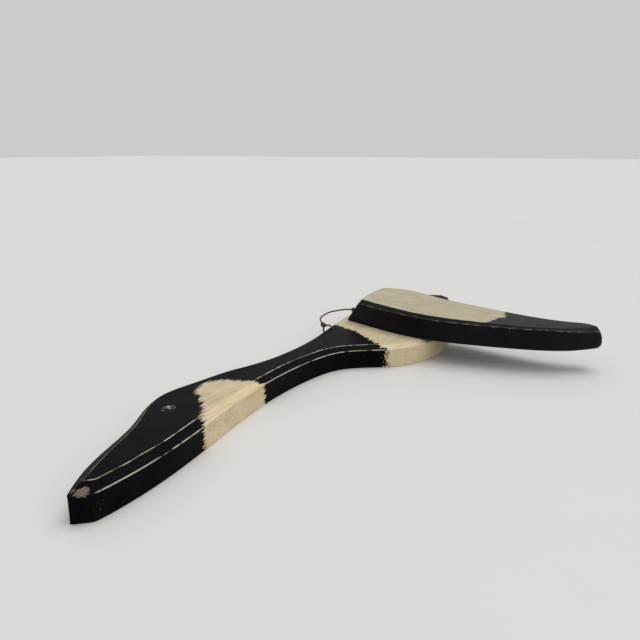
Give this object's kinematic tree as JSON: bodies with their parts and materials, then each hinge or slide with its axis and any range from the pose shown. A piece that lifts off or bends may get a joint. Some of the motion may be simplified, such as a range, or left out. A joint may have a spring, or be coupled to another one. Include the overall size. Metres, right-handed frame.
{
  "type": "motion wing decoy",
  "caption": "Flat-backed painted wooden flying goose decoy with a wing board that swings on a pivot, and a wire bail to hang it by.",
  "frame": {"origin": "centre of the base of the bounding box, on the plane of the flat back", "axes": "+X from the bill to the tail, +Y towards the bird's back where the wire is, +Z out of the painted face"},
  "size_m": [0.528, 0.267, 0.0431],
  "materials": {
    "painted_body": "worn satin black and cream paint",
    "painted_wing": "worn satin cream and black paint",
    "eye_black": "gloss enamel on a tack head",
    "rusty_wire": "dark rusted steel wire",
    "zinc_steel": "dull zinc plate",
    "spring_steel": "dark spring steel",
    "brass": "dull",
    "leather": "waxed"
  },
  "bodies": {
    "body": {"body_board": "painted_body", "eye_tack": "eye_black", "pivot_bush": "brass"},
    "wing": {"wing_board": "painted_wing", "wing_insert": "brass", "pivot_stud": "zinc_steel", "friction_washer": "leather", "back_washer": "zinc_steel", "disc_spring": "spring_steel", "lock_nut": "zinc_steel"},
    "hanger": {"hanger_wire": "rusty_wire", "front_wire_twist": "rusty_wire", "rear_wire_twist": "rusty_wire"}
  },
  "joints": [
    {"name": "wing_swing", "type": "hinge", "parent": "body", "child": "wing", "pos_m": [0.127, 0.0596, 0.019], "axis": [0, 0, 1], "range_deg": [-60, 60]},
    {"name": "hanger_swing", "type": "hinge", "parent": "body", "child": "hanger", "pos_m": [0.06661, 0.1023, 0.017], "axis": [0.9953, 0.0966, 0], "range_deg": [-25, 90]}
  ]
}
